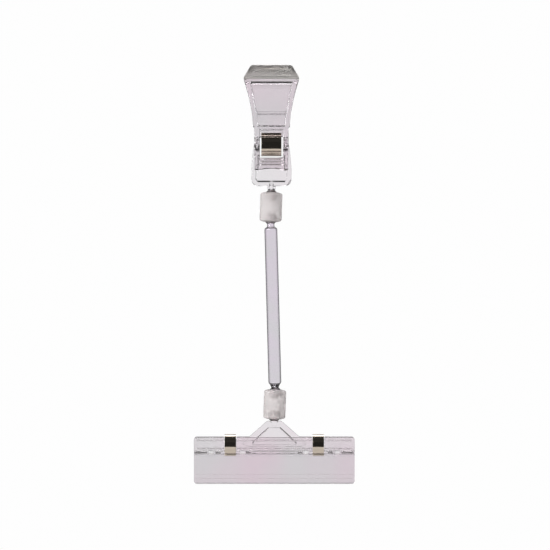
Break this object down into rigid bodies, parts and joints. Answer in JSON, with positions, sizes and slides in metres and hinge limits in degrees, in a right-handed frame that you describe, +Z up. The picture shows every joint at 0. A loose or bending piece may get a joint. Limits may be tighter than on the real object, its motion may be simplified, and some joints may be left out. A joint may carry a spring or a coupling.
{
  "type": "clip-on sign holder",
  "caption": "Clear plastic sign holder with a spring gripper, a rod between two ball-joint sleeves and a wide spring clip for a sign.",
  "frame": {"origin": "middle of the hollow between the gripper's jaws, in the plane where they meet", "axes": "+Z up through the gripper's lips, -Y to the front, +X to the viewer's right along the sign clip"},
  "size_m": [0.08, 0.0191, 0.2084],
  "materials": {
    "clear_plastic": "clear moulded polystyrene, glossy",
    "milky_plastic": "natural milky polyethylene, satin",
    "spring_strip": "polished spring steel strip"
  },
  "bodies": {
    "gripper": {"grip_jaw_rear": "clear_plastic", "grip_spring": "spring_strip"},
    "grip_front": {"grip_jaw_front": "clear_plastic"},
    "stem_ball": {"grip_ball": "clear_plastic"},
    "top_sleeve": {"upper_sleeve": "milky_plastic"},
    "rod_head": {"rod_ball_top": "clear_plastic"},
    "rod": {"rod": "clear_plastic"},
    "rod_foot": {"rod_ball_bottom": "clear_plastic"},
    "low_sleeve": {"lower_sleeve": "milky_plastic"},
    "clip_ball": {"sign_ball": "clear_plastic"},
    "sign_clip": {"sign_plate_rear": "clear_plastic", "sign_spring_left": "spring_strip", "sign_spring_right": "spring_strip"},
    "sign_front": {"sign_plate_front": "clear_plastic"}
  },
  "joints": [
    {"name": "gripper_opens", "type": "hinge", "parent": "gripper", "child": "grip_front", "pos_m": [0, 0, -0.0204], "axis": [1, 0, 0], "range_deg": [0, 25], "stiffness_Nm_per_rad": 0.12, "springref_deg": -22.92, "deforming": ["grip_spring"]},
    {"name": "gripper_ball_turns", "type": "hinge", "parent": "gripper", "child": "stem_ball", "pos_m": [0, 0.0046, -0.0466], "axis": [0, 0, 1], "continuous": true},
    {"name": "upper_sleeve_tilts", "type": "hinge", "parent": "stem_ball", "child": "top_sleeve", "pos_m": [0, 0.0046, -0.0466], "axis": [0, 1, 0], "range_deg": [-22, 18]},
    {"name": "rod_head_tilts", "type": "hinge", "parent": "top_sleeve", "child": "rod_head", "pos_m": [-0.00041, 0.0046, -0.05839], "axis": [0, 1, 0], "range_deg": [-16.5, 23.5]},
    {"name": "rod_turns", "type": "hinge", "parent": "rod_head", "child": "rod", "pos_m": [-0.00041, 0.0046, -0.05839], "axis": [-0.0262, 0, 0.9997], "continuous": true},
    {"name": "rod_foot_turns", "type": "hinge", "parent": "rod", "child": "rod_foot", "pos_m": [0.00186, 0.0046, -0.14496], "axis": [-0.0262, 0, 0.9997], "continuous": true},
    {"name": "lower_sleeve_tilts", "type": "hinge", "parent": "rod_foot", "child": "low_sleeve", "pos_m": [0.00186, 0.0046, -0.14496], "axis": [0, 1, 0], "range_deg": [-23.5, 16.5]},
    {"name": "sign_tilts", "type": "hinge", "parent": "low_sleeve", "child": "clip_ball", "pos_m": [0.00144, 0.0046, -0.15676], "axis": [0, 1, 0], "range_deg": [-11, 15]},
    {"name": "sign_turns", "type": "hinge", "parent": "clip_ball", "child": "sign_clip", "pos_m": [0.00144, 0.0046, -0.15676], "axis": [0, 0, 1], "continuous": true},
    {"name": "sign_clip_opens", "type": "hinge", "parent": "sign_clip", "child": "sign_front", "pos_m": [0.00144, 0.0026, -0.17466], "axis": [-1, 0, 0], "range_deg": [0, 22], "stiffness_Nm_per_rad": 0.1, "springref_deg": -20.05, "deforming": ["sign_spring_left", "sign_spring_right"]}
  ]
}
